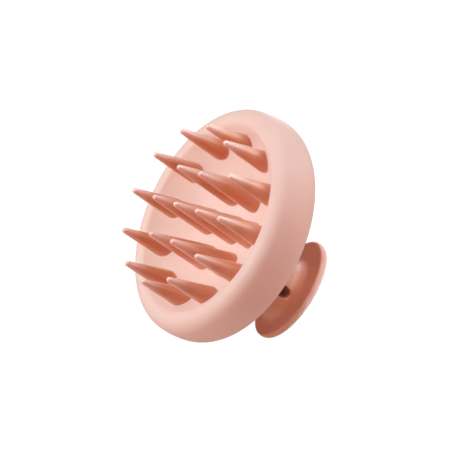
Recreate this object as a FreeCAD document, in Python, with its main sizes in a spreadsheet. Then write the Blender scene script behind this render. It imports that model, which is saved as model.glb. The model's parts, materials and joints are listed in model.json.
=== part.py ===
import FreeCAD, Part
import math
import os

import Sketcher
from FreeCAD import Placement, Rotation, Vector

# Scalp massager brush: a round head with nineteen bristles standing in a dished face, and a
# round grip on a short neck that is raked against the head.
#
# Brush frame: the brush stands on the flat base of its grip, with the origin at the centre of
# that flat, +Z up along the neck, +X to the right and +Y away from the user. Millimetres, degrees.
# Head frame: Z along the head's own axis. The bristles point to +Z, called the front here; the
# domed back faces -Z.

doc = FreeCAD.newDocument("scalp_massager_brush")

# ------------------------------------------------------------------ driving dimensions
# (alias, number or spreadsheet formula). Endings: _rad radius, _cen centre, _len length,
# _x and _z a point of a half section, _in the inner skin of a wall.
CELLS = [
    # pose of the head frame in the brush frame
    ("head_x", 8.348), ("head_y", -0.339), ("head_z", 22.313),
    ("head_yaw", 5.6989), ("head_pitch", -8.5968), ("head_roll", 13.317),

    # dished face
    ("wall", 2.2), ("dish_rad", 50.0), ("dish_cen_z", 60.6),
    ("dish_in_rad", "=dish_rad + wall"),
    ("dish_bottom_z", "=dish_cen_z - dish_rad"),
    ("dish_in_bottom_z", "=dish_cen_z - dish_in_rad"),

    # crest of the rim: one arc on the dish side, tangent to the dish, and one on the outer side
    ("crest_dish_rad", 4.0), ("crest_side_rad", 5.08487), ("crest_x", 36.8),
    ("crest_z", "=dish_cen_z - sqrt((dish_rad + crest_dish_rad)^2 - crest_x^2) + crest_dish_rad"),
    ("crest_in_z", "=crest_z - wall"),
    ("crest_dish_in_rad", "=crest_dish_rad - wall"),
    ("crest_side_in_rad", "=crest_side_rad - wall"),
    ("dish_edge_x", "=crest_x * dish_rad / (dish_rad + crest_dish_rad)"),
    ("dish_edge_z", "=dish_cen_z - sqrt(dish_rad^2 - dish_edge_x^2)"),
    ("dish_edge_in_x", "=dish_edge_x * dish_in_rad / dish_rad"),
    ("dish_edge_in_z", "=dish_cen_z - (dish_cen_z - dish_edge_z) * dish_in_rad / dish_rad"),

    # outer wall: an arc from the shoulder down to the heel
    ("side_rad", 25.0), ("side_cen_x", 17.25), ("side_cen_z", 16.2),
    ("side_in_rad", "=side_rad - wall"),
    ("shoulder_x", 41.79165), ("shoulder_z", 20.96524),
    ("shoulder_in_x", "=shoulder_x - (shoulder_x - side_cen_x) * wall / side_rad"),
    ("shoulder_in_z", "=shoulder_z - (shoulder_z - side_cen_z) * wall / side_rad"),
    ("heel_rad", 7.75), ("heel_in_rad", "=heel_rad - wall"),
    ("heel_x", 42.13068), ("heel_z", 13.76043),
    ("heel_in_x", "=heel_x - (heel_x - side_cen_x) * wall / side_rad"),
    ("heel_in_z", "=heel_z - (heel_z - side_cen_z) * wall / side_rad"),

    # domed back, shared by the shell's turned-in edge and the cover
    ("dome_rad", 92.2), ("dome_cen_z", 91.63496), ("dome_in_rad", "=dome_rad - wall"),
    ("under_x", 37.57619),
    ("under_z", "=dome_cen_z - sqrt(dome_rad^2 - under_x^2)"),
    ("under_in_x", "=under_x * dome_in_rad / dome_rad"),
    ("under_in_z", "=dome_cen_z - (dome_cen_z - under_z) * dome_in_rad / dome_rad"),
    ("part_line_x", 35.1),
    ("part_line_z", "=dome_cen_z - sqrt(dome_rad^2 - part_line_x^2)"),
    ("part_line_in_z", "=dome_cen_z - sqrt(dome_in_rad^2 - part_line_x^2)"),
    ("dome_flat_x", 6.0),
    ("dome_flat_z", "=dome_cen_z - sqrt(dome_rad^2 - dome_flat_x^2)"),
    ("dome_in_flat_z", "=dome_cen_z - sqrt(dome_in_rad^2 - dome_flat_x^2)"),

    # cover edge and its snap lip
    ("cover_gap", 0.3), ("cover_edge_x", "=part_line_x - cover_gap"),
    ("cover_edge_z", "=dome_cen_z - sqrt(dome_rad^2 - cover_edge_x^2)"),
    ("snap_x", 35.6), ("snap_low_z", 8.813), ("snap_mid_z", 9.173),
    ("snap_top_z", 9.693), ("snap_back_z", 10.593),
    ("lip_top_z", 11.393), ("lip_in_x", 33.4),
    ("lip_in_z", "=dome_cen_z - sqrt(dome_in_rad^2 - lip_in_x^2)"),

    # bristles: tips_z is the height of the tip spheres' centres, taper_angle is per side
    ("tips_z", 37.5), ("taper_angle", 9.0), ("root_flat_x", 1.0),
    ("tip_rad", 1.03), ("tip_flat_x", 0.2),
    ("tip_tan_x", "=tip_rad * cos(taper_angle)"),
    ("center_circle", 0.0), ("center_root", 5.238), ("center_hole", 5.65),
    ("center_len", "=tips_z - dish_bottom_z"),
    ("inner_circle", 14.5), ("inner_root", 4.9019), ("inner_hole", 5.32), ("inner_len", 24.7512),
    ("outer_circle", 29.0), ("outer_root", 3.7879), ("outer_hole", 4.2), ("outer_len", 17.6302),

    # silicone mat, following the back of the face
    ("layer_gap", 0.1), ("mat_thick", 1.5), ("mat_x", 35.2),
    ("mat_front_rad", "=dish_in_rad + layer_gap"), ("mat_back_rad", "=mat_front_rad + mat_thick"),
    ("mat_front_z", "=dish_cen_z - mat_front_rad"), ("mat_back_z", "=dish_cen_z - mat_back_rad"),
    ("mat_edge_front_z", 21.9184), ("mat_edge_back_z", 19.9135),
    ("cup_gap", 0.1), ("cup_wall", 1.15), ("cup_floor", 1.0), ("mat_boss_hole", 2.5),

    # clamp plate, following the back of the mat
    ("plate_thick", 1.9), ("plate_x", 34.9),
    ("plate_front_rad", "=mat_back_rad + layer_gap"),
    ("plate_back_rad", "=plate_front_rad + plate_thick"),
    ("plate_front_z", "=dish_cen_z - plate_front_rad"),
    ("plate_back_z", "=dish_cen_z - plate_back_rad"),
    ("plate_edge_front_z", 19.5253), ("plate_edge_back_z", 17.0616),
    ("collar_gap", 0.15), ("plate_screw_hole", 1.15),
    ("spot_rad", 2.3), ("spot_z", 8.6), ("spot_len", "=spot_z - plate_back_z"),

    # screw bosses behind the face, and the screws in them
    ("boss_circle", 19.3), ("boss_rad", 2.3), ("boss_low_z", 8.8), ("boss_top_z", 13.3),
    ("boss_len", "=boss_top_z - boss_low_z"),
    ("pilot_rad", 1.05), ("pilot_top_z", 13.2), ("pilot_len", "=pilot_top_z - boss_low_z"),
    ("boss_cut_rad", 53.85), ("boss_cut_z", "=dish_cen_z - boss_cut_rad"),
    ("boss_cut_x", 26.0), ("boss_cut_edge_z", 13.4328),
    ("mat_boss_hole_len", "=boss_top_z - plate_back_z"),
    ("plate_screw_rad", 1.0), ("plate_screw_head_rad", 2.0), ("plate_screw_head_len", 1.3),
    ("plate_screw_seat_z", 8.55), ("plate_screw_end_z", 12.9),

    # lengths of the holes cut up to the level of the bristle tips
    ("face_cut_len", "=tips_z - dish_bottom_z"), ("plate_cut_len", "=tips_z - plate_back_z"),

    # grip
    ("grip_rad", 19.5), ("grip_low_rad", 1.8), ("grip_edge_rad", 0.75), ("grip_top_z", 3.2),
    ("grip_flat_x", "=grip_rad - grip_low_rad"), ("grip_top_x", "=grip_rad - grip_edge_rad"),
    ("grip_side_z", "=grip_top_z - grip_edge_rad"),

    # neck and foot; foot_x, foot_y and the foot heights are in the head frame
    ("neck_x", -1.9), ("neck_rad", 10.3), ("neck_fillet", 4.0),
    ("neck_low_z", 2.0), ("neck_top_z", 25.0), ("neck_len", "=neck_top_z - neck_low_z"),
    ("foot_rad", 15.5), ("foot_x", -10.4), ("foot_y", 0.9),
    ("foot_low_z", -2.3), ("foot_top_z", 5.0), ("foot_len", "=foot_top_z - foot_low_z"),
    ("foot_fillet", 3.2), ("foot_edge_fillet", 1.3),
    ("foot_gap", 0.05), ("foot_seat_rad", "=dome_rad + foot_gap"),
    ("hang_rad", 2.3), ("hang_z", 7.6), ("hang_edge", 0.5),
    ("hang_len", 40.0), ("hang_start_y", "=hang_len / 2"),

    # core of the grip and the cap that closes it
    ("core_rad", 6.0), ("core_top_z", 3.5), ("cap_recess_rad", 15.5), ("cap_thick", 1.6),
    ("cap_gap", 0.08), ("cap_rad", "=cap_recess_rad - cap_gap"),
    ("cap_step", 0.05), ("cap_rim_z", "=cap_thick - cap_step"),
    ("plug_rad", "=core_rad - cap_gap"), ("plug_top_z", 3.0), ("plug_bore", 4.4),

    # handle screws, parallel to the neck
    ("handle_screw_circle", 6.2), ("handle_screw_angle", 30.0),
    ("handle_screw_rad", 1.3), ("handle_screw_head_rad", 2.4), ("handle_screw_head_len", 1.3),
    ("handle_screw_end_z", 14.6), ("handle_screw_lift", 0.03),
    ("handle_screw_hole", 1.45), ("handle_screw_hole_len", 8.0),
    ("counterbore_rad", 2.6), ("counterbore_depth", 0.9), ("counterbore_len", 4.0),
    ("handle_pilot", 1.35), ("handle_pilot_low_z", 14.2), ("handle_pilot_len", 12.0),
]

# Formulas shared by the three bristle rows. The pivot is the centre of the ball root, on the dish;
# the other heights of a bristle are measured from it. The cup and collar sizes follow the root.
ROW_FORMULAS = [
    ("pivot_z", "=dish_cen_z - sqrt(dish_rad^2 - {row}_circle^2)"),
    ("root_low_z", "=-sqrt({row}_root^2 - root_flat_x^2)"),
    ("root_tan_x", "={row}_root * cos(taper_angle)"),
    ("root_tan_z", "={row}_root * sin(taper_angle)"),
    ("tip_tan_z", "={row}_len + tip_rad * sin(taper_angle)"),
    ("tip_flat_z", "={row}_len + sqrt(tip_rad^2 - tip_flat_x^2)"),
    ("pocket_rad", "={row}_root + cup_gap"),
    ("cup_rad", "={row}_pocket_rad + cup_wall"),
    ("cup_len", "={row}_pocket_rad + cup_floor"),
    ("cup_low_z", "={row}_pivot_z - {row}_cup_len"),
    ("collar_rad", "={row}_cup_rad + collar_gap"),
]

# row: x and y of its first place, number of places
BRISTLE_ROWS = {
    "outer": ("outer_circle", 0, 12),
    "inner": (0, "inner_circle", 6),
    "center": (0, 0, 1),
}
BOSS_COUNT = 6
HANDLE_SCREW_COUNT = 3

for row in BRISTLE_ROWS:
    CELLS += [(row + "_" + alias, formula.format(row=row)) for alias, formula in ROW_FORMULAS]

sheet = doc.addObject("Spreadsheet::Sheet", "dims")
for line, (alias, content) in enumerate(CELLS, 1):
    sheet.set("A%d" % line, alias)
    sheet.set("B%d" % line, content if isinstance(content, str) else repr(content))
    sheet.setAlias("B%d" % line, alias)
doc.recompute()
DIM = {alias: float(sheet.get(alias)) for alias, content in CELLS}

# every piece of the head takes this placement
HEAD = Placement(
    Vector(DIM["head_x"], DIM["head_y"], DIM["head_z"]),
    Rotation(DIM["head_yaw"], DIM["head_pitch"], DIM["head_roll"]))

# turn of an arc in a section
CCW, CW = 1, -1


# ------------------------------------------------------------------ modelling helpers
# In these helpers a size or coordinate is either a spreadsheet alias or a plain number.
def number(size):
    return DIM[size] if isinstance(size, str) else float(size)


def assign(feature, prop, size):
    """Bind a property to an alias, or set it to a number."""
    if isinstance(size, str):
        feature.setExpression(prop, "dims." + size)
    else:
        setattr(feature, prop, size)


def new_body(label):
    return doc.addObject("PartDesign::Body", label)


def origin_feature(body, role):
    for feature in body.Origin.OriginFeatures:
        if feature.Role == role:
            return feature
    raise RuntimeError(role)


def ccw_arc(start, end, radius):
    """Counter-clockwise arc of less than half a turn."""
    chord = end - start
    rise = math.sqrt(radius ** 2 - (chord.Length / 2) ** 2)
    center = (start + end) * 0.5 + Vector(-chord.y, chord.x, 0).normalize() * rise
    start_angle = math.atan2(start.y - center.y, start.x - center.x)
    end_angle = math.atan2(end.y - center.y, end.x - center.x)
    if end_angle < start_angle:
        end_angle += 2 * math.pi
    return Part.ArcOfCircle(Part.Circle(center, Vector(0, 0, 1), radius), start_angle, end_angle)


def section(body, name, outline):
    """Closed half section in the body's XZ plane.

    Each row of the outline is an edge, given by its end: (x, z) for a line or
    (x, z, radius, turn) for an arc. The first edge starts where the last one ends.
    """
    sketch = body.newObject("Sketcher::SketchObject", name)
    sketch.AttachmentSupport = [(origin_feature(body, "XZ_Plane"), "")]
    sketch.MapMode = "FlatFace"
    points = [Vector(number(edge[0]), number(edge[1]), 0) for edge in outline]
    ends = []    # sketch vertex numbers at the start and end of each edge
    for i, edge in enumerate(outline):
        start, end = points[i - 1], points[i]
        clockwise = len(edge) == 4 and edge[3] == CW
        if len(edge) == 2:
            curve = Part.LineSegment(start, end)
        elif clockwise:
            curve = ccw_arc(end, start, number(edge[2]))
        else:
            curve = ccw_arc(start, end, number(edge[2]))
        sketch.addGeometry(curve, False)
        ends.append((2, 1) if clockwise else (1, 2))

    def dimension(label, alias, *constraint):
        index = sketch.addConstraint(Sketcher.Constraint(*constraint, DIM[alias]))
        sketch.renameConstraint(index, label)
        sketch.setExpression("Constraints." + label, "dims." + alias)

    for i in range(len(outline)):
        after = (i + 1) % len(outline)
        sketch.addConstraint(
            Sketcher.Constraint("Coincident", i, ends[i][1], after, ends[after][0]))
    for i, edge in enumerate(outline):
        x, z = outline[i - 1][:2]
        vertex = ends[i][0]
        if x == 0:
            sketch.addConstraint(Sketcher.Constraint("PointOnObject", i, vertex, -2))
        else:
            dimension("x%d" % i, x, "DistanceX", -1, 1, i, vertex)
        if z == 0:
            sketch.addConstraint(Sketcher.Constraint("PointOnObject", i, vertex, -1))
        else:
            dimension("z%d" % i, z, "DistanceY", -1, 1, i, vertex)
        if len(edge) == 4:
            dimension("r%d" % i, edge[2], "Radius", i)
    sketch.Visibility = False
    return sketch


def turned(body, name, outline, kind="Revolution"):
    """Revolve a half section about the body's Z axis; kind "Groove" cuts instead."""
    sketch = section(body, name, outline)
    feature = body.newObject("PartDesign::" + kind, name + "_turned")
    feature.Profile = sketch
    feature.ReferenceAxis = (sketch, ["V_Axis"])
    feature.Angle = 360.0
    doc.recompute()


def primitive(body, kind, name, radius, position, length=None, rotation=Rotation()):
    feature = body.newObject("PartDesign::" + kind, name)
    assign(feature, "Radius", radius)
    if length is not None:
        assign(feature, "Height", length)
    feature.Placement = Placement(Vector(*[number(size) for size in position]), rotation)
    for axis, size in zip("xyz", position):
        if isinstance(size, str):
            feature.setExpression(".Placement.Base." + axis, "dims." + size)
    doc.recompute()
    return feature


def ring(body, name, feature, count):
    """Repeat a feature evenly around the body's Z axis."""
    pattern = body.newObject("PartDesign::PolarPattern", name)
    pattern.Originals = [feature]
    pattern.Axis = (origin_feature(body, "Z_Axis"), [""])
    pattern.Angle = 360.0
    pattern.Occurrences = count
    body.Tip = pattern
    doc.recompute()


def at_bosses(body, kind, name, ring_name, radius, z, length):
    """One cylinder at each screw boss."""
    feature = primitive(body, kind, name, radius, ("boss_circle", 0, z), length)
    ring(body, ring_name, feature, BOSS_COUNT)


def at_bristles(body, kind, row, suffix, radius, z, length=None):
    """One primitive at each bristle of a row."""
    x, y, count = BRISTLE_ROWS[row]
    name = row + "_" + suffix
    feature = primitive(body, kind, name, radius, (x, y, z), length)
    if count > 1:
        ring(body, name + "s", feature, count)


def fillet(body, name, edges, radius):
    if not edges:
        raise RuntimeError("no edges for " + name)
    base = body.Tip
    feature = body.newObject("PartDesign::Fillet", name)
    feature.Base = (base, edges)
    assign(feature, "Radius", radius)
    doc.recompute()


def edges_on_plane(shape, point, normal, low, high):
    """Names of the edges in a plane whose mean distance from point is between low and high."""
    names = []
    for i, edge in enumerate(shape.Edges, 1):
        samples = edge.discretize(9)
        if all(abs((sample - point).dot(normal)) < 0.01 for sample in samples):
            mean = sum((sample - point).Length for sample in samples) / len(samples)
            if low < mean < high:
                names.append("Edge%d" % i)
    return names


def screw(name, kind, seat, head_end, shank_end, place):
    """Plain-shank screw along its local Z; seat, head_end and shank_end are local heights."""
    parts = []
    for suffix, radius, end in (("_shank", kind + "_rad", shank_end),
                                ("_head", kind + "_head_rad", head_end)):
        cylinder = doc.addObject("Part::Cylinder", name + suffix)
        assign(cylinder, "Radius", radius)
        cylinder.Height = abs(end - seat)
        cylinder.Placement = Placement(Vector(0, 0, min(seat, end)), Rotation())
        parts.append(cylinder)
    whole = doc.addObject("Part::Fuse", name)
    whole.Base, whole.Tool = parts
    whole.Placement = place
    return whole


def compound(label, links, place=Placement()):
    group = doc.addObject("Part::Compound", label)
    group.Links = links
    group.Placement = place
    return group


# ------------------------------------------------------------------ face shell
def face_shell():
    """One moulding: dished face, rounded rim, outer wall and the turned-in edge at the back."""
    body = new_body("face_shell")
    turned(body, "shell_section", [
        # outer skin, from the middle of the dish around the rim to the parting line
        ("dish_edge_x", "dish_edge_z", "dish_rad", CCW),
        ("crest_x", "crest_z", "crest_dish_rad", CW),
        ("shoulder_x", "shoulder_z", "crest_side_rad", CW),
        ("heel_x", "heel_z", "side_rad", CW),
        ("under_x", "under_z", "heel_rad", CW),
        ("part_line_x", "part_line_z", "dome_rad", CW),
        # inner skin, back to the axis
        ("part_line_x", "part_line_in_z"),
        ("under_in_x", "under_in_z", "dome_in_rad", CCW),
        ("heel_in_x", "heel_in_z", "heel_in_rad", CCW),
        ("shoulder_in_x", "shoulder_in_z", "side_in_rad", CCW),
        ("crest_x", "crest_in_z", "crest_side_in_rad", CCW),
        ("dish_edge_in_x", "dish_edge_in_z", "crest_dish_in_rad", CCW),
        (0, "dish_in_bottom_z", "dish_in_rad", CW),
        (0, "dish_bottom_z"),
    ])
    at_bosses(body, "AdditiveCylinder", "boss", "bosses", "boss_rad", "boss_low_z", "boss_len")
    # cut the bosses' back ends to a sphere about the dish's centre
    turned(body, "boss_trim", [
        (0, 0),
        ("boss_cut_x", 0),
        ("boss_cut_x", "boss_cut_edge_z"),
        (0, "boss_cut_z", "boss_cut_rad", CW),
    ], kind="Groove")
    at_bosses(body, "SubtractiveCylinder", "pilot", "pilots", "pilot_rad", "boss_low_z",
              "pilot_len")
    for row, z, length in (("outer", "dish_bottom_z", "face_cut_len"),
                           ("inner", "plate_back_z", "plate_cut_len"),
                           ("center", "plate_back_z", "plate_cut_len")):
        at_bristles(body, "SubtractiveCylinder", row, "bristle_hole", row + "_hole", z, length)
    body.Placement = HEAD
    return body


# ------------------------------------------------------------------ bristle mat
def bristle_mat():
    """Silicone web behind the face, with a cup under every bristle root."""
    body = new_body("bristle_mat")
    turned(body, "mat_section", [
        ("mat_x", "mat_edge_front_z", "mat_front_rad", CCW),
        ("mat_x", "mat_edge_back_z"),
        (0, "mat_back_z", "mat_back_rad", CW),
        (0, "mat_front_z"),
    ])
    for row in BRISTLE_ROWS:
        at_bristles(body, "AdditiveCylinder", row, "cup", row + "_cup_rad",
                    row + "_cup_low_z", row + "_cup_len")
    # trim everything in front of the web, so that it lies close behind the face
    turned(body, "mat_trim", [
        ("mat_x", "mat_edge_front_z", "mat_front_rad", CCW),
        ("mat_x", "tips_z"),
        (0, "tips_z"),
        (0, "mat_front_z"),
    ], kind="Groove")
    for row in BRISTLE_ROWS:
        at_bristles(body, "SubtractiveSphere", row, "pocket", row + "_pocket_rad",
                    row + "_pivot_z")
    at_bosses(body, "SubtractiveCylinder", "mat_boss_hole_cut", "mat_boss_holes",
              "mat_boss_hole", "plate_back_z", "mat_boss_hole_len")
    body.Placement = HEAD
    return body


# ------------------------------------------------------------------ clamp plate and its screws
def clamp_plate():
    """Dished plate that holds the mat's web against the face; the cups pass through it."""
    body = new_body("clamp_plate")
    turned(body, "plate_section", [
        ("plate_x", "plate_edge_front_z", "plate_front_rad", CCW),
        ("plate_x", "plate_edge_back_z"),
        (0, "plate_back_z", "plate_back_rad", CW),
        (0, "plate_front_z"),
    ])
    for row, z, length in (("outer", "plate_back_z", "plate_cut_len"),
                           ("inner", "plate_back_z", "plate_cut_len"),
                           ("center", 0, "tips_z")):
        at_bristles(body, "SubtractiveCylinder", row, "collar_hole", row + "_collar_rad",
                    z, length)
    at_bosses(body, "SubtractiveCylinder", "plate_screw_hole_cut", "plate_screw_holes",
              "plate_screw_hole", "plate_back_z", "plate_cut_len")
    at_bosses(body, "SubtractiveCylinder", "spot_face", "spot_faces",
              "spot_rad", "plate_back_z", "spot_len")
    body.Placement = HEAD
    return body


def plate_screws():
    """Screws through the plate into the bosses, heads to the back."""
    seat = DIM["plate_screw_seat_z"]
    links = []
    for i in range(BOSS_COUNT):
        angle = math.radians(360.0 / BOSS_COUNT * i)
        spot = Vector(math.cos(angle), math.sin(angle), 0) * DIM["boss_circle"]
        links.append(screw("plate_screw_%d" % (i + 1), "plate_screw", seat,
                           seat - DIM["plate_screw_head_len"], DIM["plate_screw_end_z"],
                           Placement(spot, Rotation())))
    return compound("plate_screws", links, HEAD)


# ------------------------------------------------------------------ handle screw places
DOME_CENTER = HEAD.multVec(Vector(0, 0, DIM["dome_cen_z"]))


def handle_screw_spots():
    """x, y and head seat height of each handle screw, in the brush frame.

    The seats are sunk below the points where the screws' axes meet the cover's inner skin.
    """
    spots = []
    for i in range(HANDLE_SCREW_COUNT):
        angle = math.radians(DIM["handle_screw_angle"] + 360.0 / HANDLE_SCREW_COUNT * i)
        x = DIM["neck_x"] + DIM["handle_screw_circle"] * math.cos(angle)
        y = DIM["handle_screw_circle"] * math.sin(angle)
        skin_z = DOME_CENTER.z - math.sqrt(
            DIM["dome_in_rad"] ** 2 - (x - DOME_CENTER.x) ** 2 - (y - DOME_CENTER.y) ** 2)
        spots.append((x, y, skin_z - DIM["counterbore_depth"]))
    return spots


SCREW_SPOTS = handle_screw_spots()


# ------------------------------------------------------------------ back cover
def back_cover():
    """Domed rear moulding with a small flat at its middle and a snap lip inside the shell."""
    body = new_body("back_cover")
    turned(body, "cover_section", [
        ("dome_flat_x", "dome_flat_z"),
        ("cover_edge_x", "cover_edge_z", "dome_rad", CCW),
        ("cover_edge_x", "snap_low_z"),
        ("snap_x", "snap_mid_z"),
        ("snap_x", "snap_top_z"),
        ("cover_edge_x", "snap_back_z"),
        ("cover_edge_x", "lip_top_z"),
        ("lip_in_x", "lip_top_z"),
        ("lip_in_x", "lip_in_z"),
        ("dome_flat_x", "dome_in_flat_z", "dome_in_rad", CW),
        (0, "dome_in_flat_z"),
        (0, "dome_flat_z"),
    ])
    # the holes run along the neck, so their places are carried into the head frame
    to_head = HEAD.inverse()
    for i, (x, y, seat) in enumerate(SCREW_SPOTS, 1):
        for name, radius, low_z, length in (
                ("handle_screw_hole", "handle_screw_hole",
                 seat - DIM["handle_screw_hole_len"] / 2, "handle_screw_hole_len"),
                ("counterbore", "counterbore_rad", seat, "counterbore_len")):
            place = to_head.multiply(Placement(Vector(x, y, low_z), Rotation()))
            primitive(body, "SubtractiveCylinder", "%s_%d" % (name, i), radius,
                      tuple(place.Base), length, place.Rotation)
    body.Placement = HEAD
    return body


def handle_screws():
    """Screws from inside the cover down into the neck, heads on top."""
    links = []
    for i, (x, y, seat) in enumerate(SCREW_SPOTS, 1):
        head_low = seat + DIM["handle_screw_lift"]
        links.append(screw("handle_screw_%d" % i, "handle_screw", head_low,
                           head_low + DIM["handle_screw_head_len"], DIM["handle_screw_end_z"],
                           Placement(Vector(x, y, 0), Rotation())))
    return compound("handle_screws", links)


# ------------------------------------------------------------------ handle
def hanging_hole_mouths(shape):
    """Names of the edges where the hanging hole breaks out of the neck."""
    names = []
    for i, edge in enumerate(shape.Edges, 1):
        samples = edge.discretize(9)
        on_hole = all(
            abs(math.hypot(sample.x - DIM["neck_x"], sample.z - DIM["hang_z"])
                - DIM["hang_rad"]) < 0.02
            for sample in samples)
        # the hole's seam runs the whole way across and is left out by its length
        span = max((sample - samples[0]).Length for sample in samples)
        if on_hole and span < 2 * DIM["hang_rad"] + 1.0:
            names.append("Edge%d" % i)
    return names


def handle():
    """Round grip, neck with a hanging hole across it, and a foot shaped to the domed back."""
    body = new_body("handle")
    turned(body, "grip_section", [
        ("grip_flat_x", 0),
        ("grip_rad", "grip_low_rad", "grip_low_rad", CCW),
        ("grip_rad", "grip_side_z"),
        ("grip_top_x", "grip_top_z", "grip_edge_rad", CCW),
        (0, "grip_top_z"),
        (0, 0),
    ])
    primitive(body, "AdditiveCylinder", "neck", "neck_rad", ("neck_x", 0, "neck_low_z"),
              "neck_len")
    neck_base = Vector(DIM["neck_x"], 0, DIM["grip_top_z"])
    fillet(body, "grip_to_neck",
           edges_on_plane(body.Shape, neck_base, Vector(0, 0, 1),
                          low=DIM["neck_rad"] - 0.2, high=DIM["neck_rad"] + 0.2),
           "neck_fillet")

    # the foot is square to the head's axis and hollowed by the dome
    foot_base = HEAD.multVec(Vector(DIM["foot_x"], DIM["foot_y"], DIM["foot_low_z"]))
    head_axis = HEAD.Rotation.multVec(Vector(0, 0, 1))
    primitive(body, "AdditiveCylinder", "foot", "foot_rad", tuple(foot_base), "foot_len",
              HEAD.Rotation)
    primitive(body, "SubtractiveSphere", "dome_seat", "foot_seat_rad", tuple(DOME_CENTER))
    fillet(body, "neck_to_foot",
           edges_on_plane(body.Shape, foot_base, head_axis,
                          low=0.0, high=DIM["foot_rad"] - 1.0),
           "foot_fillet")
    fillet(body, "foot_edge",
           edges_on_plane(body.Shape, foot_base, head_axis,
                          low=DIM["foot_rad"] - 0.5, high=DIM["foot_rad"] + 0.5),
           "foot_edge_fillet")

    # hanging hole, straight across the neck towards -Y
    primitive(body, "SubtractiveCylinder", "hanging_hole", "hang_rad",
              ("neck_x", "hang_start_y", "hang_z"), "hang_len", Rotation(Vector(1, 0, 0), 90.0))
    fillet(body, "hanging_hole_lips", hanging_hole_mouths(body.Shape), "hang_edge")

    primitive(body, "SubtractiveCylinder", "core", "core_rad", (0, 0, 0), "core_top_z")
    primitive(body, "SubtractiveCylinder", "cap_recess", "cap_recess_rad", (0, 0, 0),
              "cap_thick")
    for i, (x, y, seat) in enumerate(SCREW_SPOTS, 1):
        primitive(body, "SubtractiveCylinder", "handle_pilot_%d" % i, "handle_pilot",
                  (x, y, "handle_pilot_low_z"), "handle_pilot_len")
    return body


# ------------------------------------------------------------------ grip cap
def grip_cap():
    """Flat disc that closes the cored grip from below, with a hollow plug that centres it."""
    body = new_body("grip_cap")
    turned(body, "cap_section", [
        ("cap_rad", 0),
        ("cap_rad", "cap_rim_z"),
        ("plug_rad", "cap_rim_z"),
        ("plug_rad", "plug_top_z"),
        ("plug_bore", "plug_top_z"),
        ("plug_bore", "cap_thick"),
        (0, "cap_thick"),
        (0, 0),
    ])
    return body


# ------------------------------------------------------------------ bristles
def bristle(label, row, angle):
    """Taper between a round tip and a ball root, with a small flat at each end."""
    body = new_body(label)
    turned(body, label + "_section", [
        ("root_flat_x", row + "_root_low_z"),
        (row + "_root_tan_x", row + "_root_tan_z", row + "_root", CCW),
        ("tip_tan_x", row + "_tip_tan_z"),
        ("tip_flat_x", row + "_tip_flat_z", "tip_rad", CCW),
        (0, row + "_tip_flat_z"),
        (0, row + "_root_low_z"),
    ])
    circle = DIM[row + "_circle"]
    pivot = Vector(circle * math.cos(math.radians(angle)),
                   circle * math.sin(math.radians(angle)), DIM[row + "_pivot_z"])
    body.Placement = HEAD.multiply(Placement(pivot, Rotation()))
    return body


# ------------------------------------------------------------------ build, check and export
pieces = [face_shell(), bristle_mat(), clamp_plate(), plate_screws(), back_cover(),
          handle_screws(), handle(), grip_cap(), bristle("bristle_center", "center", 0.0)]
for i in range(6):
    pieces.append(bristle("bristle_inner_%d" % (i + 1), "inner", 30.0 + 60.0 * i))
for i in range(12):
    pieces.append(bristle("bristle_outer_%d" % (i + 1), "outer", 30.0 * i))

doc.recompute()
for item in doc.Objects:
    if "Invalid" in item.State or "Error" in item.State:
        raise RuntimeError("%s is in state %s" % (item.Name, item.State))

SOLID_COUNTS = {"plate_screws": BOSS_COUNT, "handle_screws": HANDLE_SCREW_COUNT}
os.makedirs("parts", exist_ok=True)
for piece in pieces:
    shape = piece.Shape
    if shape.isNull() or not shape.isValid():
        raise RuntimeError(piece.Label + " has no valid shape")
    if len(shape.Solids) != SOLID_COUNTS.get(piece.Label, 1):
        raise RuntimeError("%s has %d solids" % (piece.Label, len(shape.Solids)))
    shape.exportStep(os.path.join("parts", piece.Label + ".step"))
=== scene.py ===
"""A silicone-bristle brush: a round head with a dished face and a domed back, on a neck and round grip.

Row frame: metres, +Z up, the grip standing on the floor with its axis on Z and the head tilted above.
Head frame: millimetres, +Z out of the face through the middle bristle.
Profiles are (radius, height) points in millimetres; profile angles are in degrees from +radius.
"""
import json
import math
import bpy
import bmesh
from mathutils import Matrix, Vector

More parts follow.
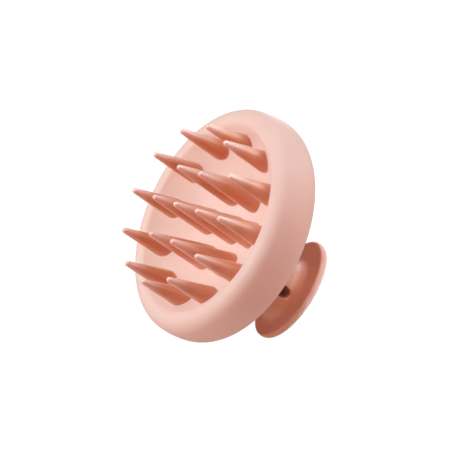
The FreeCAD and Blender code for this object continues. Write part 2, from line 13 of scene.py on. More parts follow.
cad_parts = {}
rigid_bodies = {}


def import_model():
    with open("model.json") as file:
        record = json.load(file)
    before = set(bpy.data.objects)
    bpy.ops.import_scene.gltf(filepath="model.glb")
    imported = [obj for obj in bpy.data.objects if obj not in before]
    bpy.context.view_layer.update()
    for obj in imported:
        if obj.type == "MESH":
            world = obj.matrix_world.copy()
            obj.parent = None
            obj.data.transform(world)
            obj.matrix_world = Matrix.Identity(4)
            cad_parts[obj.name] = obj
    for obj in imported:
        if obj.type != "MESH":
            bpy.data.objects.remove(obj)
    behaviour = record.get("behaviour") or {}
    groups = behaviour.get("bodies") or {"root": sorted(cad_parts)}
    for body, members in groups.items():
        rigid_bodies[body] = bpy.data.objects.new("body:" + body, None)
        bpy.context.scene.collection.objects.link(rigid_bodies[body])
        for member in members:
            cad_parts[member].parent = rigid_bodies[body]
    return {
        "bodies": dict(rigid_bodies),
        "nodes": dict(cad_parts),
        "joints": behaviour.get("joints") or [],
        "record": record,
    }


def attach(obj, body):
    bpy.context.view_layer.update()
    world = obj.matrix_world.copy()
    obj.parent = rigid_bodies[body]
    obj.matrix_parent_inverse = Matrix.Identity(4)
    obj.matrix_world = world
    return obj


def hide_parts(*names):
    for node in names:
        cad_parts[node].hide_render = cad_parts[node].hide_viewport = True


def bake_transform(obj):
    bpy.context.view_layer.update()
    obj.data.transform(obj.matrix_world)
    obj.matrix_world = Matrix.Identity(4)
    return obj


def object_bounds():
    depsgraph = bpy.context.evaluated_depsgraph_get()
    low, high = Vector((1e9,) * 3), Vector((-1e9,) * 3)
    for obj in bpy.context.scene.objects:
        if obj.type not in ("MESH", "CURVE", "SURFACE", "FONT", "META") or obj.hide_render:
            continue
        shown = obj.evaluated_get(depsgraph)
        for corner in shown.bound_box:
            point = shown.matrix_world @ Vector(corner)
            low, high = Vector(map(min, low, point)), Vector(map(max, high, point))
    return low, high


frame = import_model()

cad_low, cad_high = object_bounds()
MM = 0.001
scene = bpy.context.scene

# ------------------------------------------------------------------ head dimensions
DISH = (0.0, 60.6)                # centre of the dished face
DISH_R = 50.0
CREST_IN_R, CREST_OUT_R = 4.0, 5.0849
CREST = (36.8, 25.0809)           # top of the rim
CREST_IN = (CREST[0], CREST[1] - CREST_IN_R)     # centres of the rim's inner and outer arcs
CREST_OUT = (CREST[0], CREST[1] - CREST_OUT_R)
SIDE, SIDE_R = (17.25, 16.2), 25.0
HEEL, HEEL_R = (34.41767, 14.51669), 7.75        # turn from the side to the back
DOME, DOME_R = (0.0, 91.63496), 92.2             # the domed back
WALL = 2.2
DOME_IN_R = DOME_R - WALL
SHELL_EDGE_R = 35.1               # opening in the shell's back
COVER_EDGE_R = 34.8
COVER_IN_R = 33.4
EDGE_ROUND = 0.3                  # rounding of both edges at the parting line

# ------------------------------------------------------------------ head frame
# It follows from the pivots of the middle bristle and four of the outer twelve.
pivot = {joint["name"]: Vector(joint["pos_m"]) for joint in frame["joints"]}
head_x = (pivot["flex_outer_1"] - pivot["flex_outer_7"]).normalized()
head_y = (pivot["flex_outer_4"] - pivot["flex_outer_10"]).normalized()
head_z = head_x.cross(head_y).normalized()
head_y = head_z.cross(head_x).normalized()
head_origin = pivot["flex_center"] - head_z * ((DISH[1] - DISH_R) * MM)
HEAD = Matrix.Translation(head_origin) @ Matrix((head_x, head_y, head_z)).transposed().to_4x4()


def head_point(x, y, z):
    """A point of the head frame in millimetres, in the row frame in metres."""
    return HEAD @ Vector((x * MM, y * MM, z * MM))


# ------------------------------------------------------------------ profiles
def arc(centre, radius, start, end, steps):
    points = []
    for i in range(steps + 1):
        angle = math.radians(start + (end - start) * i / steps)
        points.append((centre[0] + radius * math.cos(angle), centre[1] + radius * math.sin(angle)))
    return points


def line(start, end, steps):
    return [(start[0] + (end[0] - start[0]) * i / steps,
             start[1] + (end[1] - start[1]) * i / steps) for i in range(steps + 1)]


def chain(*parts):
    """Joins runs of points, leaving out those that coincide with the one before."""
    joined = []
    for part in parts:
        for point in part:
            if not joined or math.dist(point, joined[-1]) > 1e-5:
                joined.append(point)
    return joined


def angle_of(centre, point):
    return math.degrees(math.atan2(point[1] - centre[1], point[0] - centre[0]))


def dome_point(r, radius):
    """The point at radius r on the dome, or on its inner face, of the given radius."""
    return (r, DOME[1] - math.sqrt(radius * radius - r * r))


# ------------------------------------------------------------------ meshes
def circle(r, z, segments, centre_x=0.0):
    """A level ring of points in metres; on the axis, a single point."""
    if r < 1e-7:
        return [(0.0, 0.0, z * MM)]
    turns = [2 * math.pi * i / segments for i in range(segments)]
    return [((centre_x + r * math.cos(a)) * MM, r * math.sin(a) * MM, z * MM) for a in turns]


def skin_rings(name, rings, segments):
    """A smooth closed mesh through a stack of rings whose first and last are single points."""
    verts, faces, indexed = [], [], []
    for ring in rings:
        indexed.append(range(len(verts), len(verts) + len(ring)))
        verts.extend(tuple(point) for point in ring)
    for a, b in zip(indexed, indexed[1:]):
        for i in range(segments):
            j = (i + 1) % segments
            if len(a) == 1:
                faces.append((a[0], b[i], b[j]))
            elif len(b) == 1:
                faces.append((a[i], b[0], a[j]))
            else:
                faces.append((a[i], b[i], b[j], a[j]))
    mesh = bpy.data.meshes.new(name)
    mesh.from_pydata(verts, [], faces)
    mesh.validate()
    bm = bmesh.new()
    bm.from_mesh(mesh)
    bmesh.ops.recalc_face_normals(bm, faces=bm.faces)
    bm.to_mesh(mesh)
    bm.free()
    shade_smooth(mesh)
    obj = bpy.data.objects.new(name, mesh)
    scene.collection.objects.link(obj)
    return obj


def shade_smooth(mesh):
    for polygon in mesh.polygons:
        polygon.use_smooth = True


def lathe(name, profile, segments, place=None):
    """Turns an open profile that starts and ends on the axis into a closed mesh."""
    obj = skin_rings(name, [circle(r, z, segments) for r, z in profile], segments)
    if place is not None:
        obj.data.transform(place)
    return obj


def paint(obj, mat):
    obj.data.materials.clear()
    obj.data.materials.append(mat)


def finish_rigid(obj, replaced, mat, sharp_angle):
    """Sharpens, paints and hands over a piece that moves with the head."""
    obj.data.set_sharp_from_angle(angle=math.radians(sharp_angle))
    paint(obj, mat)
    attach(obj, "head")
    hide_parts(replaced)


# ------------------------------------------------------------------ material tools
def set_inputs(shader, values):
    for key, value in values.items():
        shader.inputs[key].default_value = value


def node(tree, kind, inputs=None, **settings):
    made = tree.nodes.new(kind)
    for key, value in settings.items():
        setattr(made, key, value)
    set_inputs(made, inputs or {})
    return made


def material(name):
    mat = bpy.data.materials.new(name)
    mat.use_nodes = True
    tree = mat.node_tree
    tree.nodes.clear()
    output = node(tree, "ShaderNodeOutputMaterial")
    bsdf = node(tree, "ShaderNodeBsdfPrincipled")
    tree.links.new(bsdf.outputs["BSDF"], output.inputs["Surface"])
    return mat, tree, bsdf


def srgb(code):
    linear = []
    for i in (0, 2, 4):
        c = int(code[i:i + 2], 16) / 255
        linear.append(c / 12.92 if c <= 0.04045 else ((c + 0.055) / 1.055) ** 2.4)
    return (*linear, 1.0)


def millimetre_coords(tree):
    coords = node(tree, "ShaderNodeTexCoord")
    scale = node(tree, "ShaderNodeVectorMath", {"Scale": 1000.0}, operation="SCALE")
    tree.links.new(coords.outputs["Object"], scale.inputs[0])
    return scale.outputs[0]


def noise(tree, vector, scale, detail, roughness=0.5):
    texture = node(tree, "ShaderNodeTexNoise",
                   {"Scale": scale, "Detail": detail, "Roughness": roughness})
    tree.links.new(vector, texture.inputs["Vector"])
    return texture.outputs["Fac"]


def two_tone(tree, bsdf, factor, *stops):
    """Base colour from a ramp between two (position, colour) stops."""
    ramp = node(tree, "ShaderNodeValToRGB")
    for element, (position, colour) in zip(ramp.color_ramp.elements, stops):
        element.position = position
        element.color = colour
    tree.links.new(factor, ramp.inputs["Fac"])
    tree.links.new(ramp.outputs["Color"], bsdf.inputs["Base Color"])


def uneven_gloss(tree, bsdf, factor, low, high):
    gloss = node(tree, "ShaderNodeMapRange", {"To Min": low, "To Max": high})
    tree.links.new(factor, gloss.inputs["Value"])
    tree.links.new(gloss.outputs["Result"], bsdf.inputs["Roughness"])


def fine_bump(tree, bsdf, factor, strength, distance):
    bump = node(tree, "ShaderNodeBump", {"Strength": strength, "Distance": distance})
    tree.links.new(factor, bump.inputs["Height"])
    tree.links.new(bump.outputs["Normal"], bsdf.inputs["Normal"])


# ------------------------------------------------------------------ materials
def soft_touch(name, base, dark, rough=0.5, subsurface=0.2, sheen=0.08, specular=0.25):
    """Matt moulded plastic: faint mottling, a fine grain and uneven gloss."""
    mat, tree, bsdf = material(name)
    coords = millimetre_coords(tree)
    cloud = noise(tree, coords, scale=0.045, detail=3.0)
    two_tone(tree, bsdf, cloud, (0.30, srgb(dark)), (0.70, srgb(base)))
    grain = noise(tree, coords, scale=2.6, detail=2.0, roughness=0.6)
    uneven_gloss(tree, bsdf, grain, low=rough - 0.05, high=rough + 0.05)
    fine_bump(tree, bsdf, grain, strength=0.06, distance=0.00004)
    set_inputs(bsdf, {
        "Subsurface Weight": subsurface,
        "Subsurface Radius": (1.0, 0.35, 0.25),
        "Subsurface Scale": 0.003,
        "Specular IOR Level": specular,
        "Sheen Weight": sheen,
        "Sheen Roughness": 0.5,
        "Sheen Tint": (1.0, 0.86, 0.82, 1.0),
    })
    return mat


def silicone(name, deep, pale):
    """Moulded silicone with a powdery skin: its own coral at the root and up the lower half, paled
    towards the tip by a painted highlight.
    """
    mat, tree, bsdf = material(name)
    along = node(tree, "ShaderNodeAttribute", attribute_name="along", attribute_type="GEOMETRY")
    coords = millimetre_coords(tree)
    cloud = noise(tree, coords, scale=0.12, detail=3.0, roughness=0.55)
    # the cloud, scaled and centred, shifts the start of the painted tip highlight up and down a little
    jitter = node(tree, "ShaderNodeMath", {1: 0.10, 2: -0.05}, operation="MULTIPLY_ADD")
    tree.links.new(cloud, jitter.inputs[0])
    total = node(tree, "ShaderNodeMath", operation="ADD")
    tree.links.new(along.outputs["Fac"], total.inputs[0])
    tree.links.new(jitter.outputs[0], total.inputs[1])
    # painted highlight: from 0.55 of the way up, the coral pales to the tip colour
    two_tone(tree, bsdf, total.outputs[0], (0.55, srgb(deep)), (1.0, srgb(pale)))
    grain = noise(tree, coords, scale=2.2, detail=2.0, roughness=0.6)
    uneven_gloss(tree, bsdf, grain, low=0.43, high=0.54)
    fine_bump(tree, bsdf, grain, strength=0.05, distance=0.00003)
    set_inputs(bsdf, {
        "Subsurface Weight": 0.25,
        "Subsurface Radius": (1.0, 0.30, 0.18),
        "Subsurface Scale": 0.0016,
        "Specular IOR Level": 1.0,
        "Coat Weight": 1.0,
        "Coat IOR": 1.6,
        "Coat Roughness": 0.42,
        "Sheen Weight": 0.75,
        "Sheen Roughness": 0.35,
        "Sheen Tint": (1.0, 0.85, 0.80, 1.0),
    })
    return mat


def steel(name):
    """Turned steel, its gloss varying in fine streaks."""
    mat, tree, bsdf = material(name)
    coords = node(tree, "ShaderNodeTexCoord")
    mapping = node(tree, "ShaderNodeMapping", {"Scale": (900.0, 900.0, 9000.0)})
    tree.links.new(coords.outputs["Object"], mapping.inputs["Vector"])
    streaks = noise(tree, mapping.outputs["Vector"], scale=1.0, detail=2.0)
    uneven_gloss(tree, bsdf, streaks, low=0.28, high=0.45)
    set_inputs(bsdf, {"Base Color": (0.55, 0.55, 0.57, 1), "Metallic": 1.0})
    return mat


MAT_SHELL = soft_touch("shell_pink_soft_touch", base="edc1b8", dark="eabbb1")
MAT_HANDLE = soft_touch("handle_pink_soft_touch", base="d2835d", dark="cd7c55",
                        rough=0.54, subsurface=0.06, sheen=0.35, specular=1.0)
# the second colour is a painted highlight at the bristle tips
MAT_BRISTLE = silicone("silicone_coral_bristle", deep="d57442", pale="efb19f")
MAT_CORE = soft_touch("core_white_moulded", base="e6e2dc", dark="dedad3",
                      rough=0.55, subsurface=0.0, sheen=0.0)
MAT_STEEL = steel("screw_steel_turned")

for name, mat in (("bristle_mat", MAT_BRISTLE), ("clamp_plate", MAT_CORE),
                  ("plate_screws", MAT_STEEL), ("handle_screws", MAT_STEEL)):
    paint(frame["nodes"][name], mat)


# ------------------------------------------------------------------ face shell
def build_face_shell():
    """Dish, rim, side and heel, open at the back, then the inner wall back to the axis."""
    dish_end = angle_of(DISH, CREST_IN)
    crest_start = 180 + dish_end
    shoulder = angle_of(SIDE, CREST_OUT)
    heel = angle_of(SIDE, HEEL)
    under = angle_of(DOME, HEEL)
    edge = dome_point(SHELL_EDGE_R + EDGE_ROUND, DOME_R)
    edge_in = dome_point(SHELL_EDGE_R, DOME_IN_R)
    wall_start_z = dome_point(SHELL_EDGE_R, DOME_R)[1] + 0.42
    profile = chain(
        arc(DISH, DISH_R, -90, dish_end, 110),
        arc(CREST_IN, CREST_IN_R, crest_start, 90, 18),
        arc(CREST_OUT, CREST_OUT_R, 90, shoulder, 22),
        arc(SIDE, SIDE_R, shoulder, heel, 26),
        arc(HEEL, HEEL_R, heel, under, 26),
        arc(DOME, DOME_R, under, angle_of(DOME, edge), 6),
        arc((edge[0], edge[1] + EDGE_ROUND), EDGE_ROUND, under, -180, 8),
        line((SHELL_EDGE_R, wall_start_z), edge_in, 3),
        arc(DOME, DOME_IN_R, angle_of(DOME, edge_in), under, 3),
        arc(HEEL, HEEL_R - WALL, under, heel, 12),
        arc(SIDE, SIDE_R - WALL, heel, shoulder, 10),
        arc(CREST_OUT, CREST_OUT_R - WALL, shoulder, 90, 8),
        arc(CREST_IN, CREST_IN_R - WALL, 90, crest_start, 6),
        arc(DISH, DISH_R + WALL, dish_end, -90, 30),
    )
    shell = lathe("face_shell_skin", profile, 288, HEAD)
    finish_rigid(shell, "face_shell", MAT_SHELL, sharp_angle=50)


build_face_shell()

# ------------------------------------------------------------------ back cover
# The cover's upright edge with a ridge round it, then its upper face: (radius, height)
COVER_RIDGE = [
    (COVER_EDGE_R, 8.813), (35.6, 9.173), (35.6, 9.693),
    (COVER_EDGE_R, 10.593), (COVER_EDGE_R, 11.393), (COVER_IN_R, 11.393),
]


def build_back_cover():
    """The domed disc that closes the shell's back."""
    edge = dome_point(COVER_EDGE_R - EDGE_ROUND, DOME_R)
    wall_start = (COVER_EDGE_R, dome_point(COVER_EDGE_R, DOME_R)[1] + EDGE_ROUND)
    inner = dome_point(COVER_IN_R, DOME_IN_R)
    profile = chain(
        arc(DOME, DOME_R, -90, angle_of(DOME, edge), 60),
        arc((edge[0], edge[1] + EDGE_ROUND), EDGE_ROUND, -68, 0, 6),
        line(wall_start, COVER_RIDGE[0], 4),
        *[line(a, b, 2) for a, b in zip(COVER_RIDGE, COVER_RIDGE[1:])],
        line(COVER_RIDGE[-1], inner, 3),
        arc(DOME, DOME_IN_R, angle_of(DOME, inner), -90, 30),
    )
    cover = lathe("back_cover_skin", profile, 192, HEAD)
    finish_rigid(cover, "back_cover", MAT_SHELL, sharp_angle=40)


build_back_cover()

# ------------------------------------------------------------------ handle
# Round grip; the neck stands a little off its middle and flares to a foot on the domed back.
HANDLE_SEGMENTS = 192
GRIP_R, GRIP_TOP = 19.5, 3.2
GRIP_LOW_ROUND, GRIP_TOP_ROUND = 1.8, 0.75
RECESS_R, RECESS_DEPTH, RECESS_ROUND = 15.5, 1.6, 0.2    # under the grip, for the cap
NECK_R, NECK_X, NECK_TOP = 10.3, -1.9, 10.6
NECK_FILLET = 4.0
FOOT_R = 15.5
FOOT_EDGE = 0.7                   # height of the flare's end over the dome
FOOT_ROUND = 0.45
FOOT_GAP = 0.06                   # between the foot's hidden face and the dome
FLARE_STEPS, FOOT_ROUND_STEPS, FOOT_FACE_STEPS = 34, 6, 9
FLARE_START_PULL, FLARE_END_PULL = 1.55, 1.25            # tangents, in lengths of the chord
HOLE_LIP = 0.75                   # rounding of the hole's mouths
HOLE_MOUTH_OUT = 0.30             # how far the mouths' rounding reaches outside the neck
HOLE_CUTTER_EXTRA = 4.0

dome_centre = head_point(0, 0, DOME[1])
foot_centre = head_point(-10.4, 0.9, -0.2)


def on_dome(point, gap):
    """The point moved along its line from the dome's centre to a gap outside the dome."""
    return dome_centre + (point - dome_centre).normalized() * ((DOME_R + gap) * MM)


def hermite(start, start_pull, end, end_pull, t):
    return (start * (2 * t ** 3 - 3 * t ** 2 + 1) + start_pull * (t ** 3 - 2 * t ** 2 + t)
            + end * (-2 * t ** 3 + 3 * t ** 2) + end_pull * (t ** 3 - t ** 2))


def flare_line(angle):
    """One line of points from the neck's top over the flare and foot edge to near the foot's middle."""
    outward = Vector((math.cos(angle), math.sin(angle), 0))
    start = Vector(((NECK_X + NECK_R * math.cos(angle)) * MM,
                    NECK_R * math.sin(angle) * MM, NECK_TOP * MM))
    across = (outward - head_z * outward.dot(head_z)).normalized()
    end = on_dome(foot_centre + across * (FOOT_R * MM), FOOT_EDGE)
    radial = end - on_dome(foot_centre, FOOT_EDGE)
    normal = (end - dome_centre).normalized()
    tangent = (radial - normal * radial.dot(normal)).normalized()
    chord = (end - start).length
    start_pull = Vector((0, 0, 1)) * chord * FLARE_START_PULL
    end_pull = tangent * chord * FLARE_END_PULL
    points = [hermite(start, start_pull, end, end_pull, k / FLARE_STEPS)
              for k in range(1, FLARE_STEPS + 1)]
    for k in range(1, FOOT_ROUND_STEPS + 1):
        turn = math.radians(90 * k / FOOT_ROUND_STEPS)
        points.append(end + tangent * (FOOT_ROUND * MM * math.sin(turn))
                      + normal * (-FOOT_ROUND * MM * (1 - math.cos(turn))))
    # the hidden face that sits on the dome
    foot_low = on_dome(end + tangent * FOOT_ROUND * MM, FOOT_GAP)
    for k in range(FOOT_FACE_STEPS):
        step = (foot_centre - foot_low) * (k / float(FOOT_FACE_STEPS))
        points.append(on_dome(foot_low + step, FOOT_GAP) if k else foot_low)
    return points


def handle_rings():
    grip = chain(
        line((0.0, RECESS_DEPTH), (RECESS_R, RECESS_DEPTH), 16),
        line((RECESS_R, RECESS_DEPTH), (RECESS_R, RECESS_ROUND), 3),
        arc((RECESS_R + RECESS_ROUND, RECESS_ROUND), RECESS_ROUND, 180, 270, 4),
        line((RECESS_R + RECESS_ROUND, 0.0), (GRIP_R - GRIP_LOW_ROUND, 0.0), 3),
        arc((GRIP_R - GRIP_LOW_ROUND, GRIP_LOW_ROUND), GRIP_LOW_ROUND, -90, 0, 20),
        arc((GRIP_R - GRIP_TOP_ROUND, GRIP_TOP - GRIP_TOP_ROUND), GRIP_TOP_ROUND, 0, 90, 14),
    )
    rings = [circle(r, z, HANDLE_SEGMENTS) for r, z in grip]
    # the flat upper face, shifting from the grip's middle to the neck's
    fillet_r = NECK_R + NECK_FILLET
    fillet_top = GRIP_TOP + NECK_FILLET
    for k in range(1, 8):
        t = k / 8.0
        r = (GRIP_R - GRIP_TOP_ROUND) * (1 - t) + fillet_r * t
        rings.append(circle(r, GRIP_TOP, HANDLE_SEGMENTS, NECK_X * t))
    neck = (arc((fillet_r, fillet_top), NECK_FILLET, 270, 180, 20)
            + line((NECK_R, fillet_top), (NECK_R, NECK_TOP), 8)[1:])
    rings += [circle(r, z, HANDLE_SEGMENTS, NECK_X) for r, z in neck]
    flare = [flare_line(2 * math.pi * i / HANDLE_SEGMENTS) for i in range(HANDLE_SEGMENTS)]
    rings += zip(*flare)
    rings.append([on_dome(foot_centre, FOOT_GAP)])
    return rings


def drill_hanging_hole(handle):
    """Cuts the hole across the neck, with rounded mouths."""
    mount = next(m for m in frame["record"]["mounts"] if m["name"] == "hanging_hole")
    axis = Vector(mount["axis"]).normalized()
    hole_r = mount["dims"]["r_mm"]
    mouth_r = hole_r + HOLE_LIP
    mouth_z = NECK_R - HOLE_LIP + HOLE_MOUTH_OUT
    end_z = NECK_R + HOLE_CUTTER_EXTRA
    profile = chain(
        [(0.0, -end_z), (mouth_r, -end_z)],
        arc((mouth_r, -mouth_z), HOLE_LIP, -90, -180, 8),
        line((hole_r, -mouth_z), (hole_r, mouth_z), 30),
        arc((mouth_r, mouth_z), HOLE_LIP, 180, 90, 8),
        [(mouth_r, end_z), (0.0, end_z)],
    )
    turn = Vector((0, 0, 1)).rotation_difference(axis).to_matrix().to_4x4()
    cutter = lathe("hole_cutter", profile, 64, Matrix.Translation(Vector(mount["pos_m"])) @ turn)
    cut = handle.modifiers.new("hole", "BOOLEAN")
    cut.operation = "DIFFERENCE"
    cut.solver = "EXACT"
    cut.object = cutter
    bpy.context.view_layer.update()
    depsgraph = bpy.context.evaluated_depsgraph_get()
    mesh = bpy.data.meshes.new_from_object(handle.evaluated_get(depsgraph))
    handle.modifiers.clear()
    handle.data = mesh
    bpy.data.objects.remove(cutter, do_unlink=True)
    shade_smooth(mesh)


handle = skin_rings("handle_skin", handle_rings(), HANDLE_SEGMENTS)
drill_hanging_hole(handle)
finish_rigid(handle, "handle", MAT_HANDLE, sharp_angle=38)

# ------------------------------------------------------------------ grip cap
CAP_R, CAP_THICK, CAP_ROUND = 15.42, 1.5, 0.25


def build_grip_cap():
    """The disc in the recess under the grip."""
    profile = chain(
        line((0.0, 0.0), (CAP_R - CAP_ROUND, 0.0), 20),
        arc((CAP_R - CAP_ROUND, CAP_ROUND), CAP_ROUND, -90, 0, 6),
        line((CAP_R, CAP_ROUND), (CAP_R, CAP_THICK), 3),
        line((CAP_R, CAP_THICK), (0.0, CAP_THICK), 12),
    )
    cap = lathe("grip_cap_skin", profile, 144)
    finish_rigid(cap, "grip_cap", MAT_HANDLE, sharp_angle=40)


build_grip_cap()

# ------------------------------------------------------------------ bristles
TIPS_Z = 37.5                     # all the tip balls' centres stand at this height
TIP_R = 1.03
TAPER = 9.0                       # degrees between a bristle's side and its axis


def build_bristle(node_name, x, y):
    """A taper from a ball root, centred on the dished face, to a round tip."""
    base = DISH[1] - math.sqrt(DISH_R ** 2 - x * x - y * y)
    length = TIPS_Z - base
    slope = math.radians(TAPER)
    root_r = TIP_R + math.sin(slope) * length
    root = arc((0, 0), root_r, -90, TAPER, 18)
    tip = arc((0, length), TIP_R, TAPER, 90, 12)
    place = HEAD @ Matrix.Translation(Vector((x * MM, y * MM, base * MM)))
    obj = lathe(node_name + "_soft", chain(root, line(root[-1], tip[0], 34), tip), 72, place)
    # 0 at the root's centre and below, 1 at the very tip; it places the painted tip highlight
    unplace = place.inverted()
    heights = [(unplace @ v.co).z / MM / (length + TIP_R) for v in obj.data.vertices]
    along = obj.data.attributes.new("along", "FLOAT", "POINT")
    along.data.foreach_set("value", [max(0.0, min(1.0, h)) for h in heights])
    paint(obj, MAT_BRISTLE)
    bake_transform(obj)
    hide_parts(node_name)


head_inverse = HEAD.inverted()
for name in frame["bodies"]:
    if name.startswith("bristle_"):
        root = head_inverse @ pivot[name.replace("bristle_", "flex_")]
        build_bristle(name, root.x / MM, root.y / MM)


# ------------------------------------------------------------------ floor
def build_floor():
    """A plane that glows differently to the camera, to glossy rays and to all others."""
    floor_z = min(cad_low[2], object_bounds()[0][2])
    bpy.ops.mesh.primitive_plane_add(size=12.0, location=(0, 0, floor_z))
    floor = bpy.context.object
    floor.name = "floor"
    mat, tree, bsdf = material("floor_pale")
    set_inputs(bsdf, {
        "Base Color": (0.12, 0.12, 0.12, 1),
        "Roughness": 0.9,
        "Specular IOR Level": 0.1,
        "Emission Strength": 1.0,
    })
    rays = node(tree, "ShaderNodeLightPath")
    seen = node(tree, "ShaderNodeMixRGB", {
        "Color1": (0.556, 0.460, 0.386, 1),      # to diffuse rays
        "Color2": (0.99, 0.99, 0.99, 1),         # to the camera
    })
    tree.links.new(rays.outputs["Is Camera Ray"], seen.inputs["Fac"])
    mirrored = node(tree, "ShaderNodeMixRGB", {"Color2": (0.050, 0.050, 0.062, 1)})
    tree.links.new(rays.outputs["Is Glossy Ray"], mirrored.inputs["Fac"])
    tree.links.new(seen.outputs["Color"], mirrored.inputs["Color1"])
    tree.links.new(mirrored.outputs["Color"], bsdf.inputs["Emission Color"])
    floor.data.materials.append(mat)


build_floor()


# ------------------------------------------------------------------ world
def build_world():
    """White to the camera, a weak warm fill to the pieces, weaker still in reflections."""
    world = bpy.data.worlds.new("studio")
    scene.world = world
    world.use_nodes = True
    tree = world.node_tree
    tree.nodes.clear()

    def background(colour, strength):
        shader = node(tree, "ShaderNodeBackground", {"Color": colour, "Strength": strength})
        return shader.outputs["Background"]

    def switch(ray, otherwise, chosen):
        mix = node(tree, "ShaderNodeMixShader")
        tree.links.new(rays.outputs[ray], mix.inputs["Fac"])
        tree.links.new(otherwise, mix.inputs[1])
        tree.links.new(chosen, mix.inputs[2])
        return mix.outputs["Shader"]

    output = node(tree, "ShaderNodeOutputWorld")
    seen = background((1, 1, 1, 1), 1.0)
    fill = background((1.000, 0.107, 0.000, 1), 0.205)
    rays = node(tree, "ShaderNodeLightPath")
    mirrored = background((1.000, 0.208, 0.000, 1), 0.053)
    lighting = switch("Is Glossy Ray", fill, mirrored)
    tree.links.new(switch("Is Camera Ray", lighting, seen), output.inputs["Surface"])


build_world()

# ------------------------------------------------------------------ camera
VIEW_DISTANCE = 0.7449            # from the camera to the middle of the bristle tips
# the line of sight to the tips' middle, and the picture's right, in the row frame
sight = Vector((0.0, 0.951451, -0.307802)).normalized()
sight_right = Vector((0.537749, -0.259544, -0.802141)).normalized()
sight_up = sight_right.cross(sight).normalized()
# the camera turns right and down from that line, as slopes, so the tips sit left and high
TURN_RIGHT, TURN_DOWN = 0.02258513, 0.009543665
look = (sight + sight_right * TURN_RIGHT - sight_up * TURN_DOWN).normalized()
right = (sight_right - look * sight_right.dot(look)).normalized()
up = right.cross(look).normalized()

lens = bpy.data.cameras.new("camera")
lens.sensor_width = 36.0
lens.lens = 172.68
lens.clip_start = 0.01
lens.clip_end = 50.0
camera = bpy.data.objects.new("camera", lens)
scene.collection.objects.link(camera)
camera_at = head_point(0, 0, TIPS_Z) - sight * VIEW_DISTANCE
camera.matrix_world = (Matrix.Translation(camera_at)
                       @ Matrix((right, up, -look)).transposed().to_4x4())
scene.camera = camera


# ------------------------------------------------------------------ light tools
def collection(name, belongs):
    group = bpy.data.collections.new(name)
    for obj in scene.objects:
        if belongs(obj):
            group.objects.link(obj)
    return group


def lamp(name, place, aim, size, unit, power, height=None, receivers=None, blockers=None):
    """An area lamp hidden from the camera: a disc, or a strip if it has a height.

    power is colour times strength; unit is the watts that a strength of 1 stands for.
    """
    strength = max(power)
    light = bpy.data.lights.new(name, "AREA")
    light.shape = "RECTANGLE" if height else "DISK"
    light.size = size
    if height:
        light.size_y = height
    light.energy = unit * strength
    light.color = [channel / strength for channel in power]
    obj = bpy.data.objects.new(name, light)
    scene.collection.objects.link(obj)
    obj.location = place
    obj.rotation_euler = (aim - place).to_track_quat("-Z", "Y").to_euler()
    obj.visible_camera = False
    if receivers:
        obj.light_linking.receiver_collection = receivers
    if blockers:
        obj.light_linking.blocker_collection = blockers


def view_way(to_right, to_up, to_camera):
    return (right * to_right + up * to_up - look * to_camera).normalized()


def round_grip(bearing, radius, z):
    """A point in metres round the grip's axis; the bearing is in degrees from +X towards +Y."""
    angle = math.radians(bearing)
    return Vector((math.cos(angle) * radius, math.sin(angle) * radius, z))


lit_bristles = collection("lit_bristles", lambda obj: obj.name.endswith("_soft"))
lit_grip = collection("lit_grip", lambda obj: obj.name in ("handle_skin", "grip_cap_skin"))
# thin bristles cast no shadow from the big boxes; the rim and the grip still do
casters = collection("shadow_casters",
                     lambda obj: obj.type == "MESH" and not obj.name.endswith("_soft"))

BRUSH_MIDDLE = Vector((0.004, -0.003, 0.035))
GRIP_MIDDLE = Vector((-0.0018, 0, 0.008))
head_middle = head_point(0, 0, 24)

# ------------------------------------------------------------------ lights
# big soft boxes: (right, up, toward the camera), power
SOFT_BOXES = [
    ((0.00, 0.00, 1.00), (0.020, 0.000, 0.000)),
    ((0.71, 0.71, 1.00), (0.051, 0.000, 0.000)),
    ((-0.71, 0.71, 1.00), (0.123, 0.270, 0.222)),
    ((-0.38, 0.92, 0.25), (0.325, 0.471, 0.511)),
    ((-0.92, 0.38, 0.25), (0.471, 0.708, 0.807)),
    ((-0.92, -0.38, 0.25), (0.324, 0.388, 0.395)),
    ((-1.00, 0.00, -0.60), (0.000, 0.015, 0.037)),
]
for n, (way, power) in enumerate(SOFT_BOXES):
    lamp("soft_box_%d" % n, BRUSH_MIDDLE + view_way(*way) * 1.2, BRUSH_MIDDLE,
         size=0.7, unit=10.0, power=power, blockers=casters)

# small low cards around the grip, as a table's bounce: bearing, power
CARDS = [
    (45, (0.090, 0.085, 0.081)),
    (135, (0.016, 0.017, 0.015)),
    (180, (0.086, 0.058, 0.052)),
    (225, (0.003, 0.000, 0.000)),
    (270, (0.015, 0.000, 0.000)),
    (315, (0.084, 0.097, 0.091)),
]
for n, (bearing, power) in enumerate(CARDS):
    lamp("card_%d" % n, round_grip(bearing, radius=0.13, z=0.014), GRIP_MIDDLE,
         size=0.045, unit=0.2, power=power)

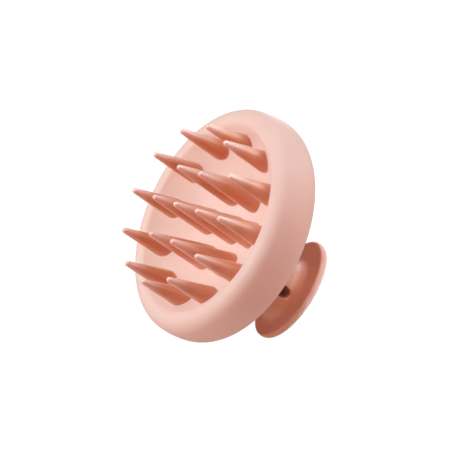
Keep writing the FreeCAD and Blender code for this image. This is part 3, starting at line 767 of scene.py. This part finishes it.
# small soft panels close to the head: (right, up, toward the camera), power
NEAR_PANELS = [
    ((0.70, 0.70, 0.30), (0.149, 0.231, 0.260)),
    ((-0.30, 0.95, 0.20), (0.064, 0.022, 0.000)),
    ((0.30, 0.90, -0.40), (0.094, 0.128, 0.142)),
    ((-0.70, 0.00, 0.70), (0.110, 0.045, 0.010)),
    ((0.60, 0.00, 0.80), (0.050, 0.050, 0.069)),
    ((-1.00, 0.30, 0.10), (0.187, 0.228, 0.186)),
]
for n, (way, power) in enumerate(NEAR_PANELS):
    lamp("near_panel_%d" % n, head_middle + view_way(*way) * 0.16, head_middle,
         size=0.07, unit=0.2, power=power)

# flagged lamps, two that light only the bristles from over the rim and one only the grip:
# receivers, aim, direction from the aim, distance, size, unit, power
FLAGGED = [
    (lit_bristles, head_middle, view_way(0.30, 0.93, 0.12), 0.5, 0.30, 2.0, (0.22, 0.43, 0.53)),
    (lit_bristles, head_middle, view_way(0.486, 0.695, 0.553), 0.5, 0.32, 2.0,
     (0.24, 0.50, 0.63)),
    (lit_grip, GRIP_MIDDLE, Vector((-0.26, -0.97, 0.05)).normalized(), 0.2, 0.09, 0.4,
     (0.06, 0.09, 0.09)),
]
for n, (receivers, aim, way, distance, size, unit, power) in enumerate(FLAGGED):
    lamp("flagged_%d" % n, aim + way * distance, aim, size, unit, power, receivers=receivers)

# thin strips level with the grip's upright edge, below its upper face, so that face stays
# dark: bearing, power
EDGE_STRIPS = [
    (-25, (0.052, 0.078, 0.092)),
    (38, (0.026, 0.050, 0.080)),
    (-95, (0.006, 0.010, 0.012)),
]
STRIP_Z = 0.0016
for n, (bearing, power) in enumerate(EDGE_STRIPS):
    lamp("edge_strip_%d" % n, round_grip(bearing, radius=0.15, z=STRIP_Z),
         Vector((0, 0, STRIP_Z)), size=0.12, height=0.0024, unit=1.0, power=power,
         receivers=lit_grip)

# small lamps low and outside the grip's edge, shaded from the neck by the grip itself:
# bearing, power
EDGE_BOUNCES = [
    (-8, (0.0050, 0.0110, 0.0170)),
    (-50, (0.0050, 0.0125, 0.0195)),
    (-92, (0.0060, 0.0140, 0.0215)),
]
for n, (bearing, power) in enumerate(EDGE_BOUNCES):
    lamp("edge_bounce_%d" % n, round_grip(bearing, radius=0.047, z=-0.045),
         round_grip(bearing, radius=GRIP_R * MM, z=0.002), size=0.022, unit=1.0, power=power,
         receivers=lit_grip, blockers=lit_grip)

# ------------------------------------------------------------------ output
scene.view_settings.view_transform = "Standard"
scene.view_settings.look = "None"
scene.view_settings.exposure = 0.0
scene.view_settings.gamma = 1.0
